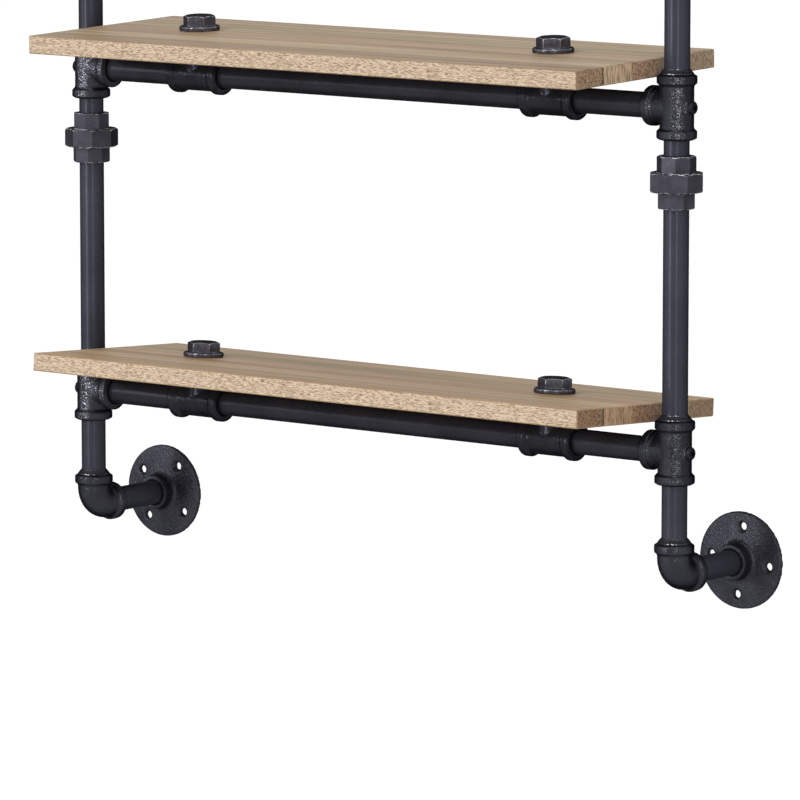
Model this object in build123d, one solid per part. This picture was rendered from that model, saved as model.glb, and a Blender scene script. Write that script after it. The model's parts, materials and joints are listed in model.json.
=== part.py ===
from build123d import *
import math
import os

# Driving dimensions, in millimetres and degrees.
# X runs along the boards, Y points at the wall and Z is up.
# The origin lies on the wall, midway between the four wall flanges.

# Half inch pipe with its coat, and its threaded sockets
pipe_radius = 11.0
pipe_bore_radius = 8.0
thread_depth = 13.0
thread_gap = 0.05
seat_gap = 0.05
mouth_chamfer = 0.9
mouth_land = 0.6

# Cut lengths of the pipes
wall_nipple_length = 80.0
bottom_pipe_length = 75.6
middle_pipe_length = 205.0
close_nipple_length = 39.0
top_pipe_length = 205.0
centre_pipe_length = 360.0
end_pipe_length = 98.0

# Cast elbows and tees
fitting_reach = 28.0
run_body_radius = 14.8
branch_body_radius = 14.3
band_radius = 17.4
band_height = 8.0
band_slope = 2.0
band_cone = 1.4
band_rounding = 1.0
crotch_fillet = 3.0
elbow_bend = 16.0

# Unions
union_corners = 8
tail_height = 14.1
tail_width = 31.2
nut_height = 16.6
nut_width = 44.5
nut_lip_height = 3.0
nut_lip_radius = 17.6
collar_radius = 19.0
collar_height = 3.5
neck_radius = 15.0
union_thread_radius = 20.0
union_thread_relief = 0.6
seal_thickness = 1.0
seal_margin = 1.0

# Octagons and hexagons, whose corners are turned off by a cone
hexagon_corners = 6
corner_start = 0.3
corner_slope = 0.6
blank_margin = 1.0

# Wall flanges
flange_radius = 42.5
flange_rim_height = 4.0
flange_cone_rise = 3.0
flange_height = 20.0
flange_rounding = 1.2
hub_radius = 15.8
hub_fillet = 4.0
screw_count = 4
screw_hole_radius = 3.2
screw_head_radius = 5.2
screw_circle_radius = 30.0

# Boards
board_end_gap = 5.6
board_depth = 200.0
board_thickness = 16.0
board_behind_rail = 89.0
board_edge = 0.8
board_hole_radius = 11.4
seat_recess = 4.5
recess_gap = 0.4
tilt_angles = {"lower": -3.3, "upper": 1.6}

# Plugs that clamp the boards to the rail tees
plug_flange_radius = 18.0
plug_flange_height = 4.2
plug_rounding = 1.2
plug_head_width = 25.8
plug_head_height = 9.7
plug_crown_radius = 10.8
plug_crown_drop = 1.8
plug_core_radius = 6.5
plug_core_depth = 18.0

# Rail bolts, and the threaded inserts in the rail ends
bolt_radius = 3.0
bolt_length = 45.0
bolt_head_radius = 5.75
bolt_head_height = 3.3
bolt_head_rounding = 2.4
bolt_socket_width = 4.0
bolt_socket_depth = 2.0
bolt_gap = 0.06
pad_radius = 6.6
pad_reach = 15.2
insert_length = 20.0
insert_gap = 0.03

# Turns of the screwed pieces about their own axes
nut_angles = {"left": -2.9, "right": 12.8}
lower_tail_angles = {"left": 28.0, "right": 12.7}
upper_tail_angles = {"left": 19.3, "right": 32.2}
plug_angles = {
    "lower_left": 29.5,
    "lower_right": 32.8,
    "upper_left": 24.5,
    "upper_right": 30.8,
}
flange_angles = {
    "left_lower": 54.0,
    "right_lower": 84.5,
    "left_upper": 36.0,
    "right_upper": 66.0,
}


def exposed(pipe_length):
    """The length of a pipe that shows between its two fittings."""
    return pipe_length - 2 * thread_depth


# Sizes and places that follow from the dimensions above
socket_radius = pipe_radius + thread_gap
socket_depth = thread_depth + seat_gap
pipe_end = fitting_reach - thread_depth
union_length = 2 * tail_height + nut_height
lower_rise = 2 * fitting_reach + exposed(bottom_pipe_length)
rail_spacing = 2 * fitting_reach + exposed(middle_pipe_length) + union_length + exposed(close_nipple_length)
upper_rise = 2 * fitting_reach + exposed(top_pipe_length)
upper_flange_z = (lower_rise + rail_spacing + upper_rise) / 2
lower_flange_z = -upper_flange_z
lower_rail_z = lower_flange_z + lower_rise
upper_rail_z = lower_rail_z + rail_spacing
union_z = upper_rail_z - fitting_reach - exposed(close_nipple_length) - union_length
rail_y = -(fitting_reach + exposed(wall_nipple_length) + flange_height)
rail_tee_x = fitting_reach + exposed(centre_pipe_length) / 2
upright_x = rail_tee_x + exposed(end_pipe_length) + 2 * fitting_reach
board_length = 2 * (upright_x - band_radius - board_end_gap)
board_bottom = fitting_reach - seat_recess
board_top = board_bottom + board_thickness
collar_base = tail_height + nut_lip_height + seat_gap
seal_base = collar_base + collar_height
union_thread_base = seal_base + seal_thickness
union_thread_top = tail_height + nut_height - union_thread_relief

sides = {"left": -1, "right": 1}
rails = {"lower": lower_rail_z, "upper": upper_rail_z}
walls = {"lower": lower_flange_z, "upper": upper_flange_z}

FROM_BASE = (Align.CENTER, Align.CENTER, Align.MIN)

# Turns that point a piece's own +Z another way
UP = Rot(0, 0, 0)
DOWN = Rot(180, 0, 0)
TO_RIGHT = Rot(0, 90, 0)
TO_LEFT = Rot(0, -90, 0)
TO_WALL = Rot(-90, 0, 0)
TO_FRONT = Rot(90, 0, 0)


def rod(radius, height):
    return Cylinder(radius, height, align=FROM_BASE)


def turned(points, rounded=(), rounding=0.0):
    """A piece turned about Z from (radius, height) points, with some corners rounded."""
    outline = make_face(Polyline(*points, close=True))
    for corner in rounded:
        outline = fillet(outline.vertices().sort_by_distance(corner)[0], rounding)
    return revolve(Plane.XZ * outline, Axis.Z)


def beyond_corners(corners, width):
    """A radius just outside the corners of a prism that is measured across its flats."""
    return width / 2 / math.cos(math.pi / corners) + blank_margin


def prism(corners, width, height, turn, base_chamfer, top_chamfer):
    """A spanner prism, measured across its flats, with its corners turned off."""
    flat = width / 2 - corner_start
    outer = beyond_corners(corners, width)
    fall = (outer - flat) * corner_slope
    base = [(flat, 0), (outer, fall)] if base_chamfer else [(outer, 0)]
    top = [(outer, height - fall), (flat, height)] if top_chamfer else [(outer, height)]
    blank = extrude(RegularPolygon(width / 2, corners, major_radius=False, rotation=turn), height)
    return blank & turned([(0, 0), *base, *top, (0, height)])


def pipe(length):
    return rod(pipe_radius, length) - rod(pipe_bore_radius, length)


def socket(mouth):
    """The cut of a threaded socket that opens upwards at the height of its mouth."""
    floor = mouth - socket_depth
    throat = mouth - mouth_chamfer
    lip = socket_radius + mouth_chamfer
    return turned([(0, floor), (socket_radius, floor), (socket_radius, throat), (lip, mouth), (0, mouth)])


def band(body_radius):
    """The raised band round the mouth of a cast fitting, with its arm's centre at Z 0."""
    shoulder = fitting_reach - band_height
    foot = shoulder - band_slope
    crest = (band_radius, shoulder)
    rim = (band_radius, fitting_reach - band_cone)
    lip = (socket_radius + mouth_chamfer + mouth_land, fitting_reach)
    points = [(0, foot), (body_radius, foot), crest, rim, lip, (0, fitting_reach)]
    return turned(points, (crest, rim), band_rounding)


def elbow():
    """An elbow with one arm up and one arm towards the wall."""
    path = FilletPolyline((0, 0, fitting_reach), (0, 0, 0), (0, fitting_reach, 0), radius=elbow_bend)
    start = Pos(0, 0, fitting_reach)
    body = sweep(start * Circle(run_body_radius), path=path)
    for arm in (UP, TO_WALL):
        body += arm * band(run_body_radius)
    for arm in (UP, TO_WALL):
        body -= arm * socket(fitting_reach)
    return body - sweep(start * Circle(pipe_bore_radius), path=path)


def tee(bolted):
    """A tee whose run stands on Z and whose branch points along X, bolted behind the branch or not."""
    run = Pos(0, 0, -fitting_reach) * rod(run_body_radius, 2 * fitting_reach)
    body = run + TO_RIGHT * rod(branch_body_radius, fitting_reach)
    crotch = [edge for edge in body.edges() if edge.geom_type not in (GeomType.LINE, GeomType.CIRCLE)]
    body = fillet(crotch, crotch_fillet)
    arms = {UP: run_body_radius, DOWN: run_body_radius, TO_RIGHT: branch_body_radius}
    for arm, body_radius in arms.items():
        body += arm * band(body_radius)
    if bolted:
        body += TO_LEFT * rod(pad_radius, pad_reach)
        body -= TO_LEFT * rod(bolt_radius + bolt_gap, pad_reach)
    for arm in arms:
        body -= arm * socket(fitting_reach)
        body -= arm * rod(pipe_bore_radius, fitting_reach)
    return body


def union_lower_tail(turn):
    """The octagon with the collar that the nut pulls up."""
    body = prism(union_corners, tail_width, tail_height, turn, True, True)
    body += rod(neck_radius, seal_base)
    body += Pos(0, 0, collar_base) * rod(collar_radius, collar_height)
    return body - DOWN * socket(0) - rod(pipe_bore_radius, seal_base)


def union_nut(turn):
    body = Pos(0, 0, tail_height) * prism(union_corners, nut_width, nut_height, turn, True, True)
    body -= Pos(0, 0, tail_height) * rod(nut_lip_radius, nut_lip_height)
    thread_base = tail_height + nut_lip_height
    return body - Pos(0, 0, thread_base) * rod(union_thread_radius + thread_gap, nut_height - nut_lip_height)


def union_seal():
    ring = rod(collar_radius - seal_margin, seal_thickness)
    ring -= rod(pipe_bore_radius + seal_margin, seal_thickness)
    return Pos(0, 0, seal_base) * ring


def union_upper_tail(turn):
    """The octagon with the male thread that the nut runs on."""
    body = Pos(0, 0, union_thread_base) * rod(union_thread_radius, union_thread_top - union_thread_base)
    octagon = prism(union_corners, tail_width, union_length - union_thread_top, turn, False, True)
    body += Pos(0, 0, union_thread_top) * octagon
    body -= socket(union_length)
    return body - Pos(0, 0, union_thread_base) * rod(pipe_bore_radius, union_length - union_thread_base)


def wall_flange(turn):
    """A flange whose foot lies on Z 0, with its hub upwards."""
    rim = (flange_radius, flange_rim_height)
    root = (hub_radius, flange_rim_height + flange_cone_rise)
    crown = (hub_radius, flange_height)
    profile = Polyline((0, 0), (flange_radius, 0), rim, root, crown, (0, flange_height), close=True)
    outline = make_face(profile)
    for corner, rounding in ((rim, flange_rounding), (root, hub_fillet), (crown, flange_rounding)):
        outline = fillet(outline.vertices().sort_by_distance(corner)[0], rounding)
    body = revolve(Plane.XZ * outline, Axis.Z)
    cone_run = (flange_radius - screw_circle_radius) / (flange_radius - hub_radius)
    face = flange_rim_height + flange_cone_rise * cone_run
    sink_depth = screw_head_radius - screw_hole_radius
    hole = turned([
        (0, 0),
        (screw_hole_radius, 0),
        (screw_hole_radius, face - sink_depth),
        (screw_head_radius + sink_depth, face + sink_depth),
        (0, face + sink_depth),
    ])
    for place in PolarLocations(screw_circle_radius, screw_count, start_angle=turn):
        body -= place * hole
    return body - socket(flange_height) - rod(pipe_bore_radius, flange_height)


def board():
    """A board in its shelf's own place, with the rail's axis on X."""
    front = board_behind_rail - board_depth
    middle = (front + board_behind_rail) / 2
    blank = Pos(0, middle, board_bottom) * Box(board_length, board_depth, board_thickness, align=FROM_BASE)
    blank = chamfer(blank.edges(), board_edge)
    for side in sides.values():
        foot = Pos(side * rail_tee_x, 0, board_bottom)
        blank -= foot * rod(board_hole_radius, board_thickness)
        blank -= foot * rod(band_radius + recess_gap, seat_recess)
    return blank


def board_plug(turn):
    """A cored plug with its flange on Z 0."""
    rim = (plug_flange_radius, plug_flange_height)
    foot = (plug_flange_radius, 0)
    body = turned([(0, 0), foot, rim, (0, plug_flange_height)], (foot, rim), plug_rounding)
    top = plug_flange_height + plug_head_height
    outer = beyond_corners(hexagon_corners, plug_head_width)
    crown = (plug_crown_radius, top)
    shoulder = (outer, top - plug_crown_drop)
    dome = turned([(0, 0), (outer, 0), shoulder, crown, (0, top)], (crown,), plug_rounding)
    hexagon = RegularPolygon(plug_head_width / 2, hexagon_corners, major_radius=False, rotation=turn)
    body += dome & extrude(hexagon, top)
    shank_length = board_thickness - seat_recess + thread_depth
    body += DOWN * rod(pipe_radius, shank_length)
    return body - Pos(0, 0, -shank_length) * rod(plug_core_radius, plug_core_depth)


def rail_bolt():
    """A button head bolt with the underside of its head on Z 0 and its shank downwards."""
    rim = (bolt_head_radius, bolt_head_height)
    head = turned([(0, 0), (bolt_head_radius, 0), rim, (0, bolt_head_height)], (rim,), bolt_head_rounding)
    floor = bolt_head_height - bolt_socket_depth
    hexagon = RegularPolygon(bolt_socket_width / 2, hexagon_corners, major_radius=False)
    head -= Pos(0, 0, floor) * extrude(hexagon, bolt_socket_depth)
    return head + DOWN * rod(bolt_radius, bolt_length)


def rail_insert():
    """A threaded slug from the end of a rail at Z 0 downwards."""
    slug = rod(pipe_bore_radius - insert_gap, insert_length) - rod(bolt_radius + insert_gap, insert_length)
    return DOWN * slug


# Castings that repeat, each made once
corner_elbow = elbow()
upright_tee = tee(True)
rail_tee = tee(False)


def upright(side, sign):
    """The pieces of one upright, from its lower wall flange to its upper one."""
    stand = Pos(sign * upright_x, rail_y, 0)
    inward = UP if sign < 0 else Rot(0, 0, 180)
    lower_tee_top = lower_rail_z + fitting_reach
    upper_tee_base = upper_rail_z - fitting_reach
    close_nipple_base = upper_tee_base + thread_depth - close_nipple_length
    piece = {
        "bottom_pipe": Pos(0, 0, lower_flange_z + pipe_end) * pipe(bottom_pipe_length),
        "middle_pipe": Pos(0, 0, lower_tee_top - thread_depth) * pipe(middle_pipe_length),
        "union_lower_tail": Pos(0, 0, union_z) * union_lower_tail(lower_tail_angles[side]),
        "union_nut": Pos(0, 0, union_z) * union_nut(nut_angles[side]),
        "union_seal": Pos(0, 0, union_z) * union_seal(),
        "union_upper_tail": Pos(0, 0, union_z) * union_upper_tail(upper_tail_angles[side]),
        "close_nipple": Pos(0, 0, close_nipple_base) * pipe(close_nipple_length),
        "top_pipe": Pos(0, 0, upper_rail_z + pipe_end) * pipe(top_pipe_length),
    }
    for level, rail_z in rails.items():
        piece[level + "_tee"] = Pos(0, 0, rail_z) * inward * upright_tee
    for level, flange_z in walls.items():
        corner = Pos(0, 0, flange_z)
        upright_arm = UP if level == "lower" else Rot(0, 180, 0)
        flange = TO_FRONT * wall_flange(flange_angles[side + "_" + level])
        piece[level + "_elbow"] = corner * upright_arm * corner_elbow
        piece[level + "_wall_nipple"] = corner * TO_WALL * Pos(0, 0, pipe_end) * pipe(wall_nipple_length)
        piece[level + "_wall_flange"] = corner * Pos(0, -rail_y, 0) * flange
    return {side + "_" + name: stand * solid for name, solid in piece.items()}


def shelf(level, rail_z):
    """The pieces of one shelf, swung about its rail by the shelf's tilt."""
    swing = Pos(0, rail_y, rail_z) * Rot(tilt_angles[level], 0, 0)
    centre_pipe = Pos(-centre_pipe_length / 2, 0, 0) * TO_RIGHT * pipe(centre_pipe_length)
    piece = {"board": board(), "centre_pipe": centre_pipe}
    bolts = []
    inserts = []
    for side, sign in sides.items():
        outward = TO_RIGHT if sign > 0 else TO_LEFT
        rail_end = rail_tee_x + pipe_end + end_pipe_length
        tee_place = Pos(sign * rail_tee_x, 0, 0)
        piece[side + "_rail_tee"] = tee_place * TO_LEFT * rail_tee
        piece[side + "_end_pipe"] = outward * Pos(0, 0, rail_tee_x + pipe_end) * pipe(end_pipe_length)
        plug = board_plug(plug_angles[level + "_" + side])
        piece[side + "_board_plug"] = tee_place * Pos(0, 0, board_top) * plug
        bolts.append(outward * Pos(0, 0, upright_x + pad_reach + seat_gap) * rail_bolt())
        inserts.append(outward * Pos(0, 0, rail_end) * rail_insert())
    piece["rail_bolts"] = Compound(children=bolts)
    piece["rail_inserts"] = Compound(children=inserts)
    return {level + "_" + name: swing * solid for name, solid in piece.items()}


pieces = {}
for side, sign in sides.items():
    pieces.update(upright(side, sign))
for level, rail_z in rails.items():
    pieces.update(shelf(level, rail_z))

os.makedirs("parts", exist_ok=True)
for name, solid in pieces.items():
    export_step(solid, os.path.join("parts", name + ".step"))
    print(name, round(solid.volume))
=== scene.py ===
import json
import math

import bmesh
import bpy
from mathutils import Euler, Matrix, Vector


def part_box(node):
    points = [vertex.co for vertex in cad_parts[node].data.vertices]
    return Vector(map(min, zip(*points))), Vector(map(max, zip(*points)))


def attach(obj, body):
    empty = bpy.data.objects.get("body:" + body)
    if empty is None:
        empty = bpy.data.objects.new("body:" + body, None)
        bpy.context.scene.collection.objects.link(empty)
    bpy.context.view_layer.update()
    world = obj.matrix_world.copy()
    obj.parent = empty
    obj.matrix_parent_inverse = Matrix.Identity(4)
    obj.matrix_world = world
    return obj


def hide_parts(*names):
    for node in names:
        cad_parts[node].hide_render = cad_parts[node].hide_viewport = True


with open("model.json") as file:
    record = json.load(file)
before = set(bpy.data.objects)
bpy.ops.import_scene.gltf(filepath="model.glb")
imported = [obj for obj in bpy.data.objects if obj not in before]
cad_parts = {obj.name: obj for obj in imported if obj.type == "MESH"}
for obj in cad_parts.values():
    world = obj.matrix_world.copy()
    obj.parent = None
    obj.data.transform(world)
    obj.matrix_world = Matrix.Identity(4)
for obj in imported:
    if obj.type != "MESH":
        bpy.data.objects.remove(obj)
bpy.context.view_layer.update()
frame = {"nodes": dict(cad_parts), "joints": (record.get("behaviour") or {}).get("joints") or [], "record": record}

# A wall shelf of black pipe with two oak boards. Sizes are in metres and angles in degrees.

# The eye, far off and with a long lens
EYE = (3.338, -4.380, 0.5607)
EYE_TURN = 37.72
EYE_DROP = 7.92
LENS_MM = 281.2
SENSOR_MM = 36.0
EYE_REACH = 100.0

# Thread on the uprights: the fittings it comes up out of, and its outline as radius and rise
THREAD_FITTINGS = ("lower_elbow", "lower_tee", "upper_tee")
THREAD_OUTLINE = (
    (0.01102, 0.0),
    (0.0146, 0.0),
    (0.0142, 0.0007),
    (0.0134, 0.0012),
    (0.0136, 0.0017),
    (0.0126, 0.0022),
    (0.0127, 0.0028),
    (0.0117, 0.0033),
    (0.0117, 0.0038),
    (0.01102, 0.0044),
)
THREAD_STEPS = 96

# How finely the skins over castings and turned pieces follow them, and the relief of sand,
# which starts below the surface so that it only cuts in
CAST_GRID = 0.0009
TURNED_GRID = 0.0004
SAND_RELIEF = 0.00022
SAND_SIZE = 0.0022
SAND_LEVEL = 1.3
SAME_POINT = 0.000001

# The coats on the iron, each as its darkest and its lightest tone; the rail pipes' and rail tees' tones are
# darker, as painted shade under the boards
PIPE_TONES = ((0.041, 0.042, 0.055), (0.053, 0.054, 0.070))
RAIL_PIPE_SHADED_TONES = ((0.025, 0.025, 0.031), (0.036, 0.036, 0.045))
SMOOTH_CAST_TONES = ((0.025, 0.025, 0.032), (0.040, 0.040, 0.050))
RAIL_CAST_SHADED_TONES = ((0.018, 0.018, 0.023), (0.030, 0.030, 0.037))
LEFT_TEE_TONES = ((0.024, 0.024, 0.030), (0.038, 0.038, 0.047))
RIGHT_TEE_TONES = ((0.022, 0.022, 0.028), (0.034, 0.034, 0.042))
LOW_RIGHT_TEE_TONES = ((0.021, 0.021, 0.027), (0.032, 0.032, 0.040))
FLANGE_TONES = ((0.028, 0.028, 0.035), (0.046, 0.046, 0.057))
THREAD_TONES = ((0.040, 0.040, 0.050), (0.065, 0.065, 0.078))
TURNED_TONES = ((0.040, 0.039, 0.049), (0.066, 0.064, 0.080))
PLUG_TONES = ((0.062, 0.062, 0.076), (0.116, 0.115, 0.138))
BOLT_TONES = ((0.014, 0.014, 0.018), (0.026, 0.026, 0.032))
SEAL_TONES = ((0.16, 0.05, 0.03), (0.28, 0.10, 0.06))

# How rough castings are, between the grains of sand and on them, and where they are dull
CAST_GLOSS = (0.26, 0.12)
FLANGE_GLOSS = (0.40, 0.22)
DULL_ROUGH = (0.48, 0.48, 0.48)

# Painted highlights: light greys in the colour that stand for glints, as specks on castings and threads and on the
# chamfers and edges of nuts, tails and plugs; and painted shade on the plugs' tops, which are matt there
PAINTED_GLINT = (0.250, 0.250, 0.280)
FAINT_PAINTED_GLINT = (0.13, 0.13, 0.15)
THREAD_GLINT = (0.7, 0.7, 0.72)
CHAMFER_GLINT = (0.600, 0.600, 0.630)
EDGE_GLINT = (0.750, 0.750, 0.780)
SHADED_TOP = (0.026, 0.026, 0.032)
MATT_TOP_ROUGH = (0.85, 0.85, 0.85)

# How much the coats still shine where they are seen edge on
RIM_TINT = 0.05

# The boards' staves, from the front one to the back one
STAVES = 5
STAVE_START = -0.116
STAVE_WIDTH = 0.0425
STAVE_TONES = (
    (0.76, 0.69, 0.62),
    (1.05, 1.02, 0.94),
    (0.98, 0.88, 0.82),
    (0.89, 0.90, 0.79),
    (0.98, 0.94, 0.87),
)
END_LIGHT = (
    (0.470, 0.340, 0.220),
    (0.700, 0.560, 0.390),
    (0.560, 0.400, 0.280),
    (0.500, 0.430, 0.290),
    (0.420, 0.340, 0.230),
)
END_DARK = (
    (0.095, 0.060, 0.038),
    (0.300, 0.220, 0.140),
    (0.150, 0.090, 0.055),
    (0.190, 0.150, 0.095),
    (0.150, 0.110, 0.070),
)

# Each board's seed for the figure of its staves, and the tints of its top and of its ends, which are painted light
# and shade: the lower top is lighter to make up for the shade of the board above, and the ends are lighter on the
# upper board and darker on the lower one
BOARDS = {
    "lower": (3.0, (1.17, 1.10, 1.00), (0.85, 0.69, 0.59)),
    "upper": (11.0, (1.00, 1.00, 1.00), (1.05, 0.95, 0.87)),
}

# Tones of the streaks on top and of the flecks on the long edges, from the darkest up
TOP_STREAKS = (
    (0.30, (0.240, 0.160, 0.095)),
    (0.48, (0.400, 0.300, 0.190)),
    (0.66, (0.520, 0.405, 0.270)),
)
EDGE_TONES = (
    (0.36, (0.125, 0.078, 0.047)),
    (0.47, (0.405, 0.291, 0.188)),
    (0.58, (0.655, 0.528, 0.381)),
)

# How short the pores at a stave's end are: 1 is a speck and 0 a line from top to bottom
END_SPECKS = (0.9, 0.12, 0.55, 0.2, 0.4)

# Flecks along, across and up the long edges, and pores across and up the ends, to the metre
EDGE_FLECKS = (250.0, 300.0, 1700.0)
END_PORES = (700.0, 800.0)

# Yearly rings round a pith beside and below each stave, and how strongly they show
RING_WIDTH = 0.0031
RING_WAVES = 9.0
RING_BROWN = (0.235, 0.155, 0.095)
EDGE_RING_BROWN = (0.480, 0.320, 0.205)
TOP_RINGS = 0.26
EDGE_RINGS = 0.18
PITH_SPREAD = 0.09
PITH_BELOW = 0.015
PITH_RANGE = 0.05
GRAIN_SLOPE = 0.035

# Glue lines, from so many stave widths off a stave's middle, and how strongly they show
GLUE_FROM_MIDDLE = 0.488
GLUE_BROWN = (0.100, 0.065, 0.040)
GLUE_SHOWS = 0.35

# The glue line that has opened at the ends, counted from the front
OPEN_LINE = 1.0
OPEN_WIDTH = 0.0022
OPEN_WOBBLE = 0.09
OPEN_BROWN = (0.045, 0.028, 0.018)
OPEN_SHOWS = 0.9

# How square on to an axis a face looks that counts as an end or a long edge
SQUARE_ON = 0.8

# The room
FLOOR_Z = -1.30
FLOOR_SIZE = 60.0
FLOOR_GREY = 0.5
FLOOR_GLOW = 0.70
SKY_LEVEL = 0.27

# Lamps far off: turn from the front towards +X, height, spread and strength
FAR_LAMPS = {
    "key": (-13, 36, 10, 0.9),
    "side": (55, 30, 14, 0.45),
    "overhead": (30, 80, 12, 0.5),
}

# Soft boxes round the shelf: turn, width, foot, top, and glare, where white is 1
BOX_AWAY = 5.0
SOFT_BOXES = {
    "left_box": (-16, 1.0, -0.80, 1.9, 13.0),
    "middle_box": (44, 0.5, -0.95, 0.9, 10.0),
    "right_box": (84, 4.2, -1.25, 0.6, 0.7),
    "rail_box": (-47, 0.30, -0.20, 1.20, 26.0),
}

# Soft boxes that only show in what reflects them
GLOSS_ONLY = ("rail_box",)

# The frame's nodes, with the body and the slot of each, the points that joints turn about, and
# the way each mount faces
nodes = frame["nodes"]
record = frame["record"]
bodies = {node: body for body, names in record["behaviour"]["bodies"].items() for node in names}
slots = {row["node"]: row["material_slot"] for row in record["subparts"]}
pivots = {joint["name"]: joint["pos_m"] for joint in frame["joints"]}
facings = {mount["name"]: mount["axis"] for mount in record["mounts"]}


# Objects and meshes


def into_scene(name, data):
    """A new object in the scene, at the origin."""
    made = bpy.data.objects.new(name, data)
    bpy.context.scene.collection.objects.link(made)
    return made


def mesh_of(form, name, material):
    """The finished form as a mesh with its material."""
    mesh = bpy.data.meshes.new(name)
    form.to_mesh(mesh)
    form.free()
    mesh.materials.append(material)
    return mesh


# Shader helpers


def shade(tree, kind, props=None, **values):
    """A shader node with its properties and its unlinked inputs set."""
    made = tree.nodes.new("ShaderNode" + kind)
    for key, value in (props or {}).items():
        setattr(made, key, value)
    for key, value in values.items():
        made.inputs[key].default_value = value
    return made


def sums(tree, operation, first, second=None, third=None):
    """One step of arithmetic on sockets or numbers."""
    made = shade(tree, "Math", {"operation": operation})
    for socket, value in zip(made.inputs, (first, second, third)):
        if value is None:
            continue
        if isinstance(value, (int, float)):
            socket.default_value = value
        else:
            tree.links.new(value, socket)
    return made.outputs[0]


def times(tree, first, second):
    """The product of two sockets, or of a socket and a number."""
    return sums(tree, "MULTIPLY", first, second)


def less(tree, first, second):
    """The first less the second, each a socket or a number."""
    return sums(tree, "SUBTRACT", first, second)


def blended(tree, factor, first, second, mode="MIX"):
    """Two colours mixed by a factor, each a socket, a number or a colour."""
    made = shade(tree, "Mix", {"data_type": "RGBA", "blend_type": mode})
    sockets = (made.inputs[0], made.inputs[6], made.inputs[7])
    for socket, value in zip(sockets, (factor, first, second)):
        if isinstance(value, (int, float)):
            socket.default_value = value
        elif isinstance(value, tuple):
            socket.default_value = (*value, 1)
        else:
            tree.links.new(value, socket)
    return made.outputs[2]


def ramp(tree, source, *stops, steps=False):
    """A grey or coloured ramp from (position, colour) stops, smooth or in steps."""
    made = shade(tree, "ValToRGB")
    band = made.color_ramp
    if steps:
        band.interpolation = "CONSTANT"
    while len(band.elements) < len(stops):
        band.elements.new(0.5)
    for element, (position, colour) in zip(band.elements, stops):
        element.position = position
        element.color = (*colour, 1) if isinstance(colour, tuple) else (colour, colour, colour, 1)
    tree.links.new(source, made.inputs[0])
    return made.outputs[0]


def noise(tree, vector, scale, detail=2.0, rough=0.5, distortion=0.0):
    """Soft noise from 0 to 1, its scale in patches to the metre."""
    made = shade(
        tree, "TexNoise", Scale=scale, Detail=detail, Roughness=rough, Distortion=distortion
    )
    tree.links.new(vector, made.inputs["Vector"])
    return made.outputs["Fac"]


def drifting(tree, spot, low, high, scale, detail):
    """A value or a colour that drifts between two in soft patches."""
    return ramp(tree, noise(tree, spot, scale, detail), (0.3, low), (0.7, high))


def parts(tree, vector):
    """The X, Y and Z parts of a vector."""
    made = shade(tree, "SeparateXYZ")
    tree.links.new(vector, made.inputs[0])
    return made.outputs


def joined(tree, *values):
    """A vector from its X, Y and Z parts."""
    made = shade(tree, "CombineXYZ")
    for socket, value in zip(made.inputs, values):
        tree.links.new(value, socket)
    return made.outputs[0]


def bumped(tree, shader, height, depth, strength=1.0):
    """Fine relief on a surface, as deep as its depth."""
    bump = shade(tree, "Bump", Strength=strength, Distance=depth)
    tree.links.new(height, bump.inputs["Height"])
    tree.links.new(bump.outputs[0], shader.inputs["Normal"])


def surfaced(tree, shader, colour, rough):
    """A shader's colour, from a socket, and its roughness, from a socket or a number."""
    tree.links.new(colour, shader.inputs["Base Color"])
    if isinstance(rough, float):
        shader.inputs["Roughness"].default_value = rough
    else:
        tree.links.new(rough, shader.inputs["Roughness"])


def sharp_edges(tree, start, full):
    """How far a point lies on a sharp edge of its piece: 0 below start, 1 above full."""
    form = shade(tree, "NewGeometry")
    return ramp(tree, form.outputs["Pointiness"], (start, 0.0), (full, 1.0))


def in_sight(tree):
    """1 for the eye, reflections and clear glass, and 0 for light that falls on things."""
    rays = shade(tree, "LightPath").outputs
    seen = sums(tree, "MAXIMUM", rays["Is Camera Ray"], rays["Is Glossy Ray"])
    return sums(tree, "MAXIMUM", seen, rays["Is Transmission Ray"])


def fresh(name):
    """A new material, its tree, its shader and its texture coordinates."""
    material = bpy.data.materials.new(name)
    material.use_nodes = True
    tree = material.node_tree
    return material, tree, tree.nodes["Principled BSDF"], shade(tree, "TexCoord").outputs


# Coats on the iron


def iron_sheen(shader, metal):
    """A coat that shines as dark iron does, without a pale rim where it is seen edge on."""
    shader.inputs["Metallic"].default_value = metal
    shader.inputs["Specular IOR Level"].default_value = 0.0
    shader.inputs["Specular Tint"].default_value = (*[RIM_TINT] * 3, 1)


def pipe_coat(name, tones, metal):
    """Satin powder coat on drawn pipe, with a faint orange peel."""
    material, tree, shader, place = fresh(name)
    spot = place["Object"]
    colour = drifting(tree, spot, *tones, scale=22.0, detail=3.0)
    surfaced(tree, shader, colour, drifting(tree, spot, 0.21, 0.29, scale=140.0, detail=3.0))
    iron_sheen(shader, metal)
    peel = noise(tree, spot, scale=500.0)
    bumped(tree, shader, peel, depth=0.00006, strength=0.6)
    return material


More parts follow.
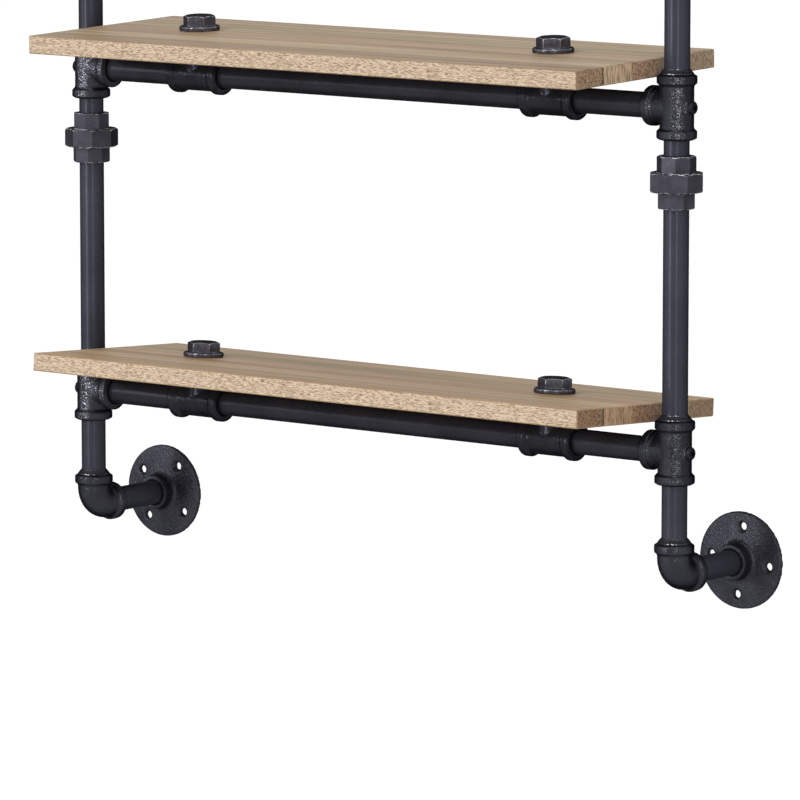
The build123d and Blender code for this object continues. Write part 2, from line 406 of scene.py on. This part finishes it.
def cast_coat(
    name, tones, metal, sand_depth, gloss=CAST_GLOSS, painted_glints=None, glint_size=0.001, glint_colour=PAINTED_GLINT
):
    """Powder coat over sand-cast iron. On a side given as the turn and the rise of the way it looks, light specks
    of the given size and colour are painted in as highlights for the lamps' glints. With such a side, the coat
    keeps its sandy gloss there and on top, and is dull elsewhere."""
    material, tree, shader, place = fresh(name)
    spot = place["Object"]
    colour = drifting(tree, spot, *tones, scale=40.0, detail=3.0)
    sand = noise(tree, spot, scale=520.0, rough=0.6)
    lumps = noise(tree, spot, scale=170.0)
    rough = ramp(tree, sand, (0.35, gloss[0]), (0.65, gloss[1]))
    # Painted highlights: on the given side, light specks in the colour stand for the lamps' glints
    if painted_glints:
        turn, rise = map(math.radians, painted_glints)
        faced = shade(tree, "VectorMath", {"operation": "DOT_PRODUCT"})
        tree.links.new(place["Normal"], faced.inputs[0])
        faced.inputs[1].default_value = Euler((-rise, 0, turn)).to_matrix() @ Vector((0, -1, 0))
        glint_zone = ramp(tree, faced.outputs["Value"], (0.90, 0.0), (0.98, 1.0))
        glint_grain = noise(tree, spot, scale=1.0 / glint_size, rough=0.6)
        glint_specks = times(tree, ramp(tree, glint_grain, (0.54, 0.0), (0.66, 1.0)), glint_zone)
        colour = blended(tree, glint_specks, colour, glint_colour)
        on_top = ramp(tree, parts(tree, place["Normal"])[2], (0.30, 0.0), (0.55, 1.0))
        rough = blended(tree, sums(tree, "MAXIMUM", glint_zone, on_top), DULL_ROUGH, rough)
    surfaced(tree, shader, colour, rough)
    iron_sheen(shader, metal)
    bumped(tree, shader, sums(tree, "MULTIPLY_ADD", lumps, 0.6, sand), sand_depth)
    return material


def turned_coat():
    """The coat on union nuts and tails: dull on the flats and glossier above them, with painted highlights: light
    patches on the chamfers and light lines along the sharp edges, for glints."""
    material, tree, shader, place = fresh("turned_coat")
    spot = place["Object"]
    upwards = parts(tree, place["Normal"])[2]
    slope = sums(tree, "ABSOLUTE", upwards)
    # Painted highlights: light patches on the chamfers and light lines on the sharp edges stand for glints
    chamfer = ramp(tree, slope, (0.20, 0.0), (0.40, 1.0), (0.75, 1.0), (0.90, 0.0))
    glint_noise = noise(tree, spot, scale=260.0, detail=3.0, rough=0.6)
    chamfer_glints = times(tree, chamfer, ramp(tree, glint_noise, (0.44, 0.0), (0.56, 1.0)))
    painted_glints = times(tree, sharp_edges(tree, start=0.52, full=0.60), 0.45)
    colour = drifting(tree, spot, *TURNED_TONES, scale=60.0, detail=4.0)
    colour = blended(tree, chamfer_glints, colour, CHAMFER_GLINT)
    colour = blended(tree, painted_glints, colour, PAINTED_GLINT)
    surfaced(tree, shader, colour, ramp(tree, upwards, (0.20, 0.38), (0.50, 0.18)))
    iron_sheen(shader, metal=0.38)
    bumped(tree, shader, noise(tree, spot, scale=420.0, detail=3.0), depth=0.00022)
    return material


def plug_coat():
    """A gloss black coat on turned steel, with light lines painted along its edges as highlights, and matt where
    it faces up, with painted shade darkening it there."""
    material, tree, shader, place = fresh("plug_coat")
    spot = place["Object"]
    # Painted shade on faces that look up, and painted highlights as light lines along the sharp edges
    on_top = ramp(tree, parts(tree, place["Normal"])[2], (0.80, 0.0), (0.97, 1.0))
    patchy = ramp(tree, noise(tree, spot, scale=420.0), (0.40, 0.2), (0.58, 1.0))
    edge_glints = times(tree, sharp_edges(tree, start=0.515, full=0.565), patchy)
    colour = drifting(tree, spot, *PLUG_TONES, scale=260.0, detail=3.0)
    colour = blended(tree, on_top, colour, SHADED_TOP)
    colour = blended(tree, edge_glints, colour, EDGE_GLINT)
    gloss = drifting(tree, spot, 0.08, 0.18, scale=500.0, detail=3.0)
    surfaced(tree, shader, colour, blended(tree, on_top, gloss, MATT_TOP_ROUGH))
    iron_sheen(shader, metal=0.60)
    bumped(tree, shader, noise(tree, spot, scale=300.0), depth=0.00012, strength=0.6)
    return material


def bolt_black():
    """Black oxide on the rails' end bolts."""
    material, tree, shader, place = fresh("bolt_black")
    colour = drifting(tree, place["Object"], *BOLT_TONES, scale=300.0, detail=2.0)
    surfaced(tree, shader, colour, rough=0.32)
    iron_sheen(shader, metal=0.6)
    return material


def plain_steel():
    """Turned steel without a coat, inside the rails' ends."""
    material, tree, shader, place = fresh("plain_steel")
    colour = drifting(tree, place["Object"], 0.35, 0.5, scale=900.0, detail=2.0)
    surfaced(tree, shader, colour, rough=0.35)
    shader.inputs["Metallic"].default_value = 1.0
    return material


def seal_fibre():
    """Red fibre, inside the unions."""
    material, tree, shader, place = fresh("seal_fibre")
    colour = drifting(tree, place["Object"], *SEAL_TONES, scale=1500.0, detail=3.0)
    surfaced(tree, shader, colour, rough=0.8)
    return material


# Wood


class Staves:
    """Oak staves glued side by side, their grain along X, as a point on a board meets them. All
    is laid out on the board's own axes: along the grain, across the staves, and up."""

    def __init__(self, tree, place, level, seed):
        self.tree = tree
        _, lean, rise = facings[level + "_board_top"]
        turn = Euler((math.atan2(lean, rise), 0, 0))
        shift = -(turn.to_matrix() @ Vector(pivots[level + "_shelf_swivel"]))
        axes = shade(tree, "Mapping", {"vector_type": "POINT"}, Location=shift, Rotation=turn)
        tree.links.new(place["Object"], axes.inputs["Vector"])
        self.spot = axes.outputs[0]
        self.along, self.across, self.up = parts(tree, self.spot)

        # Which stave the point lies in, and that stave's own chance numbers
        self.depth = sums(tree, "DIVIDE", less(tree, self.across, STAVE_START), STAVE_WIDTH)
        stave = sums(tree, "FLOOR", self.depth)
        self.share = sums(tree, "DIVIDE", sums(tree, "ADD", stave, 0.5), STAVES)
        chance = shade(tree, "TexWhiteNoise", {"noise_dimensions": "1D"})
        tree.links.new(sums(tree, "ADD", stave, seed), chance.inputs["W"])
        lots = shade(tree, "SeparateColor")
        tree.links.new(chance.outputs["Color"], lots.inputs[0])
        self.lots = lots.outputs

        # Waves in the grain, long streaks, and the fibres themselves
        self.waves = noise(
            tree, self.stretched(0, 9.0, along=2.6, around=30.0), 1.0, detail=3.0, distortion=0.4
        )
        self.streaks = noise(
            tree,
            self.stretched(2, 20.0, along=3.0, around=90.0),
            1.0,
            detail=4.0,
            rough=0.55,
            distortion=0.2,
        )
        self.fibres = noise(
            tree, self.stretched(1, 20.0, along=34.0, around=1400.0), 1.0, rough=0.6
        )
        self.rings = self.yearly_rings()

    def stretched(self, lot, reach, along, around):
        """Where the point lies in a pattern with so many patches to the metre along the grain and
        around it. One of the stave's lots says where the pattern starts, within that reach."""
        tree = self.tree
        start = times(tree, self.lots[lot], reach)
        return joined(
            tree,
            sums(tree, "MULTIPLY_ADD", self.along, along, start),
            times(tree, self.across, around),
            times(tree, self.up, around),
        )

    def yearly_rings(self):
        """Rings about a pith that lies off the stave and wanders along it."""
        tree = self.tree
        pith_y = sums(tree, "MULTIPLY_ADD", self.lots[1], PITH_SPREAD, -PITH_SPREAD / 2)
        pith_z = sums(tree, "MULTIPLY_ADD", self.lots[2], -PITH_RANGE, -PITH_BELOW)
        off_y = less(tree, less(tree, self.across, pith_y), times(tree, self.along, GRAIN_SLOPE))
        off_z = less(tree, self.up, pith_z)
        off = sums(tree, "ADD", times(tree, off_y, off_y), times(tree, off_z, off_z))
        turns = times(tree, sums(tree, "SQRT", off), math.tau / RING_WIDTH)
        phase = sums(tree, "MULTIPLY_ADD", self.waves, RING_WAVES, turns)
        return sums(tree, "MULTIPLY_ADD", sums(tree, "SINE", phase), 0.5, 0.5)

    def each(self, values):
        """One value or colour for each stave, from the front one to the back one."""
        stops = [(number / STAVES, value) for number, value in enumerate(values)]
        return ramp(self.tree, self.share, *stops, steps=True)


def board_top(tree, staves, painted_top_light):
    """Smooth streaks, with each stave in a tone of its own, and the whole top tinted by the board's painted light.
    """
    colour = ramp(tree, staves.streaks, *TOP_STREAKS)
    colour = blended(tree, times(tree, staves.rings, TOP_RINGS), colour, RING_BROWN)
    colour = blended(tree, 1.0, colour, staves.each(STAVE_TONES), "MULTIPLY")
    return blended(tree, 1.0, colour, painted_top_light, "MULTIPLY")


def board_edge(tree, staves):
    """Cream with fine brown flecks, on the long edges."""
    along, across, up = (
        times(tree, way, to_the_metre)
        for way, to_the_metre in zip((staves.along, staves.across, staves.up), EDGE_FLECKS)
    )
    spot = joined(tree, along, across, sums(tree, "MULTIPLY_ADD", staves.waves, 3.0, up))
    colour = ramp(tree, noise(tree, spot, 1.0, detail=3.0, rough=0.7), *EDGE_TONES)
    return blended(tree, times(tree, staves.rings, EDGE_RINGS), colour, EDGE_RING_BROWN)


def board_end(tree, staves, painted_end_light):
    """Pores, as lines in some staves and as specks in others, tinted by the board's painted light and shade on its
    ends.
    """
    pores_across, pores_up = END_PORES
    spot = joined(
        tree,
        times(tree, staves.across, pores_across),
        times(tree, staves.up, times(tree, staves.each(END_SPECKS), pores_up)),
        times(tree, staves.lots[2], 20.0),
    )
    pores = noise(tree, spot, 1.0, detail=3.0, rough=0.65, distortion=0.1)
    clear = ramp(tree, pores, (0.38, 0.0), (0.56, 1.0))
    colour = blended(tree, clear, staves.each(END_DARK), staves.each(END_LIGHT))
    return blended(tree, 1.0, colour, painted_end_light, "MULTIPLY")


def glued(tree, staves, colour, is_end):
    """Thin glue lines between staves, and one that has opened where it meets the ends."""
    middle_off = less(tree, sums(tree, "FRACT", staves.depth), 0.5)
    on_line = sums(tree, "GREATER_THAN", sums(tree, "ABSOLUTE", middle_off), GLUE_FROM_MIDDLE)
    colour = blended(tree, times(tree, on_line, GLUE_SHOWS), colour, GLUE_BROWN)
    wander = noise(tree, staves.spot, scale=300.0)
    wobble = sums(tree, "MULTIPLY_ADD", wander, OPEN_WOBBLE, -OPEN_WOBBLE / 2)
    line_off = less(tree, sums(tree, "ADD", staves.depth, wobble), OPEN_LINE)
    half_gap = OPEN_WIDTH / STAVE_WIDTH / 2
    gap = times(tree, sums(tree, "LESS_THAN", sums(tree, "ABSOLUTE", line_off), half_gap), is_end)
    return blended(tree, times(tree, gap, OPEN_SHOWS), colour, OPEN_BROWN)


def oak(level, seed, painted_top_light, painted_end_light):
    """Light oak with a clear matt finish, for the board on that level."""
    material, tree, shader, place = fresh("oak_" + level)
    staves = Staves(tree, place, level, seed)
    faced = parts(tree, place["Normal"])
    is_end = sums(tree, "GREATER_THAN", sums(tree, "ABSOLUTE", faced[0]), SQUARE_ON)
    is_edge = sums(tree, "GREATER_THAN", sums(tree, "ABSOLUTE", faced[1]), SQUARE_ON)
    colour = board_top(tree, staves, painted_top_light)
    colour = blended(tree, is_edge, colour, board_edge(tree, staves))
    colour = blended(tree, is_end, colour, board_end(tree, staves, painted_end_light))
    colour = glued(tree, staves, colour, is_end)
    surfaced(tree, shader, colour, ramp(tree, staves.fibres, (0.3, 0.62), (0.7, 0.50)))
    shader.inputs["Specular IOR Level"].default_value = 0.35
    relief = sums(tree, "MULTIPLY_ADD", staves.rings, 0.35, staves.fibres)
    bumped(tree, shader, relief, depth=0.00015, strength=0.5)
    return material


# Which piece has which finish


def dress():
    """Each piece gets its slot's finish, or its own by the first ending that fits its name."""
    by_slot = {
        "pipe_black": pipe_coat("pipe_coat", PIPE_TONES, metal=0.25),
        "fitting_black": cast_coat(
            "smooth_cast_coat", SMOOTH_CAST_TONES, metal=0.66, sand_depth=0.00032
        ),
        "plug_black": plug_coat(),
        "bolt_black": bolt_black(),
        "insert_steel": plain_steel(),
        "seal_fibre": seal_fibre(),
    }
    turned = turned_coat()
    # Darker copies of the coats for the rails and their tees: painted shade for the boards above them
    rail_pipe = pipe_coat("rail_pipe_shaded_coat", RAIL_PIPE_SHADED_TONES, metal=0.40)
    rail_cast = cast_coat("rail_cast_shaded_coat", RAIL_CAST_SHADED_TONES, metal=0.48, sand_depth=0.00012)
    flange = cast_coat(
        "flange_coat", FLANGE_TONES, metal=0.56, sand_depth=0.00060, gloss=FLANGE_GLOSS
    )
    # The tees get light specks painted as highlights on the side where the lamps glint, fainter on the lower right
    # tee
    left_tee = cast_coat(
        "left_tee_coat", LEFT_TEE_TONES, metal=0.76, sand_depth=0.00045, painted_glints=(6, 0)
    )
    right_tee = cast_coat(
        "right_tee_coat", RIGHT_TEE_TONES, metal=0.76, sand_depth=0.00045, painted_glints=(36, 0)
    )
    low_right_tee = cast_coat(
        "low_right_tee_coat",
        LOW_RIGHT_TEE_TONES,
        metal=0.74,
        sand_depth=0.00045,
        painted_glints=(36, 0),
        glint_colour=FAINT_PAINTED_GLINT,
    )
    by_ending = {
        # Each board's oak paints its own light and shade into its top and ends
        "lower_board": oak("lower", *BOARDS["lower"]),
        "upper_board": oak("upper", *BOARDS["upper"]),
        "_nut": turned,
        "_tail": turned,
        "wall_flange": flange,
        "rail_tee": rail_cast,
        "right_lower_tee": low_right_tee,
        "right_upper_tee": right_tee,
        "_tee": left_tee,
        "centre_pipe": rail_pipe,
        "end_pipe": rail_pipe,
    }
    for node, slot in slots.items():
        own = [finish for ending, finish in by_ending.items() if node.endswith(ending)]
        nodes[node].data.materials.clear()
        nodes[node].data.materials.append(own[0] if own else by_slot[slot])


# Skins that stand for the castings and the turned pieces


def skin(node, grid, sand=None):
    """A node's shape with its edges softened on a fine grid, and cut into by a relief of sand."""
    form = bmesh.new()
    form.from_mesh(nodes[node].data)
    bmesh.ops.remove_doubles(form, verts=form.verts, dist=SAME_POINT)
    name = node + "_skin"
    piece = into_scene(name, mesh_of(form, name, nodes[node].data.materials[0]))
    even = piece.modifiers.new("even", "REMESH")
    even.mode = "VOXEL"
    even.voxel_size = grid
    even.use_smooth_shade = True
    soft = piece.modifiers.new("soft", "SMOOTH")
    soft.iterations = 1
    if sand:
        cut = piece.modifiers.new("sand", "DISPLACE")
        cut.texture = sand
        cut.texture_coords = "LOCAL"
        cut.strength = SAND_RELIEF
        cut.mid_level = SAND_LEVEL
    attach(piece, bodies[node])
    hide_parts(node)


def skins():
    """Fine skins for turned pieces, and coarser ones with a relief of sand for castings."""
    sand = bpy.data.textures.new("sand", "CLOUDS")
    sand.noise_scale = SAND_SIZE
    sand.noise_depth = 2
    for node, slot in slots.items():
        if node.endswith(("_tail", "_nut", "_plug")):
            skin(node, TURNED_GRID)
        elif slot == "fitting_black":
            skin(node, CAST_GRID, sand)


# Ends of thread that show where the uprights' pipes leave their fittings


def thread_ends():
    """A short cone of sealed thread on each pipe, from each fitting's mouth upwards, about the
    line that the upright's union nut turns about."""
    form = bmesh.new()
    for fitting in THREAD_FITTINGS:
        for side in ("left", "right"):
            x, y, _ = pivots[side + "_union_nut_turn"]
            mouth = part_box(f"{side}_{fitting}")[1].z
            outline = [
                form.verts.new((x + radius, y, mouth + rise)) for radius, rise in THREAD_OUTLINE
            ]
            edges = [form.edges.new(pair) for pair in zip(outline, outline[1:] + outline[:1])]
            bmesh.ops.spin(
                form,
                geom=outline + edges,
                cent=(x, y, 0),
                axis=(0, 0, 1),
                angle=math.tau,
                steps=THREAD_STEPS,
                use_merge=True,
            )
    bmesh.ops.remove_doubles(form, verts=form.verts, dist=SAME_POINT)
    bmesh.ops.recalc_face_normals(form, faces=form.faces)
    # Light specks painted in as highlights where the lamps glint on the thread
    coat = cast_coat(
        "thread_coat",
        THREAD_TONES,
        metal=0.68,
        sand_depth=0.00030,
        painted_glints=(22, 38),
        glint_size=0.0018,
        glint_colour=THREAD_GLINT,
    )
    piece = into_scene("thread_ends", mesh_of(form, "thread_ends", coat))
    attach(piece, "uprights")


# Floor, light and eye


def floor_white():
    """White to the eye, and grey to the light that falls on it."""
    material, tree, shader, _ = fresh("floor_white")
    shader.inputs["Base Color"].default_value = (*[FLOOR_GREY] * 3, 1)
    shader.inputs["Roughness"].default_value = 0.9
    shader.inputs["Specular IOR Level"].default_value = 0.0
    shader.inputs["Emission Color"].default_value = (1, 1, 1, 1)
    glow = times(tree, in_sight(tree), FLOOR_GLOW)
    tree.links.new(glow, shader.inputs["Emission Strength"])
    return material


def pale_floor():
    """A floor that shows as white and still keeps shadows."""
    form = bmesh.new()
    bmesh.ops.create_grid(form, x_segments=1, y_segments=1, size=FLOOR_SIZE / 2)
    bmesh.ops.translate(form, verts=form.verts, vec=(0, 0, FLOOR_Z))
    floor = into_scene("floor", mesh_of(form, "floor", floor_white()))


def white_world():
    """Even light on everything, and pure white wherever the eye or a reflection meets the sky."""
    world = bpy.data.worlds.new("studio")
    bpy.context.scene.world = world
    world.use_nodes = True
    tree = world.node_tree
    sky = tree.nodes["Background"]
    sky.inputs["Color"].default_value = (1, 1, 1, 1)
    strength = sums(tree, "MULTIPLY_ADD", in_sight(tree), 1.0 - SKY_LEVEL, SKY_LEVEL)
    tree.links.new(strength, sky.inputs["Strength"])


def far_lamp(name, turn, height, spread, strength):
    """Soft light from far off."""
    lamp = bpy.data.lights.new(name, "SUN")
    lamp.energy = strength
    lamp.angle = math.radians(spread)
    holder = into_scene(name, lamp)
    holder.rotation_euler = (math.radians(90 - height), 0, math.radians(turn))


def soft_box(name, turn, width, foot, top, glare):
    """An upright soft box that draws a bright band on pipes, or only shows in their gloss."""
    lamp = bpy.data.lights.new(name, "AREA")
    lamp.shape = "RECTANGLE"
    lamp.size = width
    lamp.size_y = top - foot
    lamp.energy = glare * math.pi * lamp.size * lamp.size_y
    around = math.radians(turn)
    away = (BOX_AWAY * math.sin(around), -BOX_AWAY * math.cos(around))
    holder = into_scene(name, lamp)
    holder.location = (*away, (top + foot) / 2)
    holder.rotation_euler = (math.radians(90), 0, around)
    holder.visible_camera = False
    holder.visible_diffuse = name not in GLOSS_ONLY


def eye():
    """The camera, which stands to the right of the shelf and looks a little down on it."""
    camera = bpy.data.cameras.new("eye")
    camera.lens = LENS_MM
    camera.sensor_width = SENSOR_MM
    camera.clip_end = EYE_REACH
    holder = into_scene("eye", camera)
    holder.location = EYE
    holder.rotation_euler = (math.radians(90 - EYE_DROP), 0, math.radians(EYE_TURN))
    bpy.context.scene.camera = holder


dress()
skins()
thread_ends()
pale_floor()
white_world()
for name, values in FAR_LAMPS.items():
    far_lamp(name, *values)
for name, values in SOFT_BOXES.items():
    soft_box(name, *values)
eye()
bpy.context.scene.view_settings.view_transform = "Standard"
